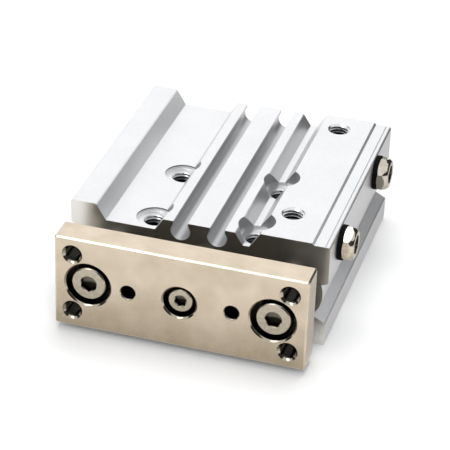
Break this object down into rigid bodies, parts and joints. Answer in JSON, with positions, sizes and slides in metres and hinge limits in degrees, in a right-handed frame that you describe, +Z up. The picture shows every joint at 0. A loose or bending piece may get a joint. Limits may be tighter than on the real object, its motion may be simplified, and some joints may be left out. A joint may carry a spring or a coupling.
{
  "type": "guided pneumatic cylinder",
  "caption": "Compact pneumatic cylinder with two guide rods and a front plate that slides out of a block body.",
  "frame": {"origin": "centre of the four body bolt holes, on the mounting face underneath", "axes": "+Z up out of the mounting face, -Y out of the body towards the front plate, +X towards the side with the plugged ports"},
  "size_m": [0.0615, 0.07, 0.025],
  "materials": {
    "body_aluminium": "satin clear anodised",
    "plate_nickel": "satin nickel plated steel",
    "bolt_nickel": "nickel plated steel",
    "plug_nickel": "bright nickel plated",
    "rod_steel": "ground and hard chromed",
    "cover_aluminium": "turned",
    "ring_steel": "spring steel",
    "bush_bronze": "sintered bronze",
    "seal_rubber": "nitrile rubber",
    "bumper_urethane": "urethane",
    "felt": "oiled felt",
    "magnet_plastic": "bonded magnet"
  },
  "bodies": {
    "housing": {"body": "body_aluminium", "rod_cover": "cover_aluminium", "head_cover": "cover_aluminium", "rod_seal": "seal_rubber", "rod_cover_gasket": "seal_rubber", "head_cover_gasket": "seal_rubber", "front_plug_gasket": "seal_rubber", "rear_plug_gasket": "seal_rubber", "front_bumper": "bumper_urethane", "rear_bumper": "bumper_urethane", "rod_cover_ring": "ring_steel", "head_cover_ring": "ring_steel", "passage_ball": "ring_steel", "front_port_plug": "plug_nickel", "rear_port_plug": "plug_nickel", "left_front_bush": "bush_bronze", "left_rear_bush": "bush_bronze", "left_felt": "felt", "left_felt_holder": "ring_steel", "right_front_bush": "bush_bronze", "right_rear_bush": "bush_bronze", "right_felt": "felt", "right_felt_holder": "ring_steel"},
    "carriage": {"front_plate": "plate_nickel", "rod_bolt": "bolt_nickel", "left_guide_bolt": "bolt_nickel", "right_guide_bolt": "bolt_nickel", "piston_rod": "rod_steel", "left_guide_rod": "rod_steel", "right_guide_rod": "rod_steel", "piston": "cover_aluminium", "piston_seal": "seal_rubber", "piston_magnet": "magnet_plastic"}
  },
  "joints": [
    {"name": "plate_slide", "type": "slide", "parent": "housing", "child": "carriage", "axis": [0, -1, 0], "range_m": [0, 0.03]}
  ]
}
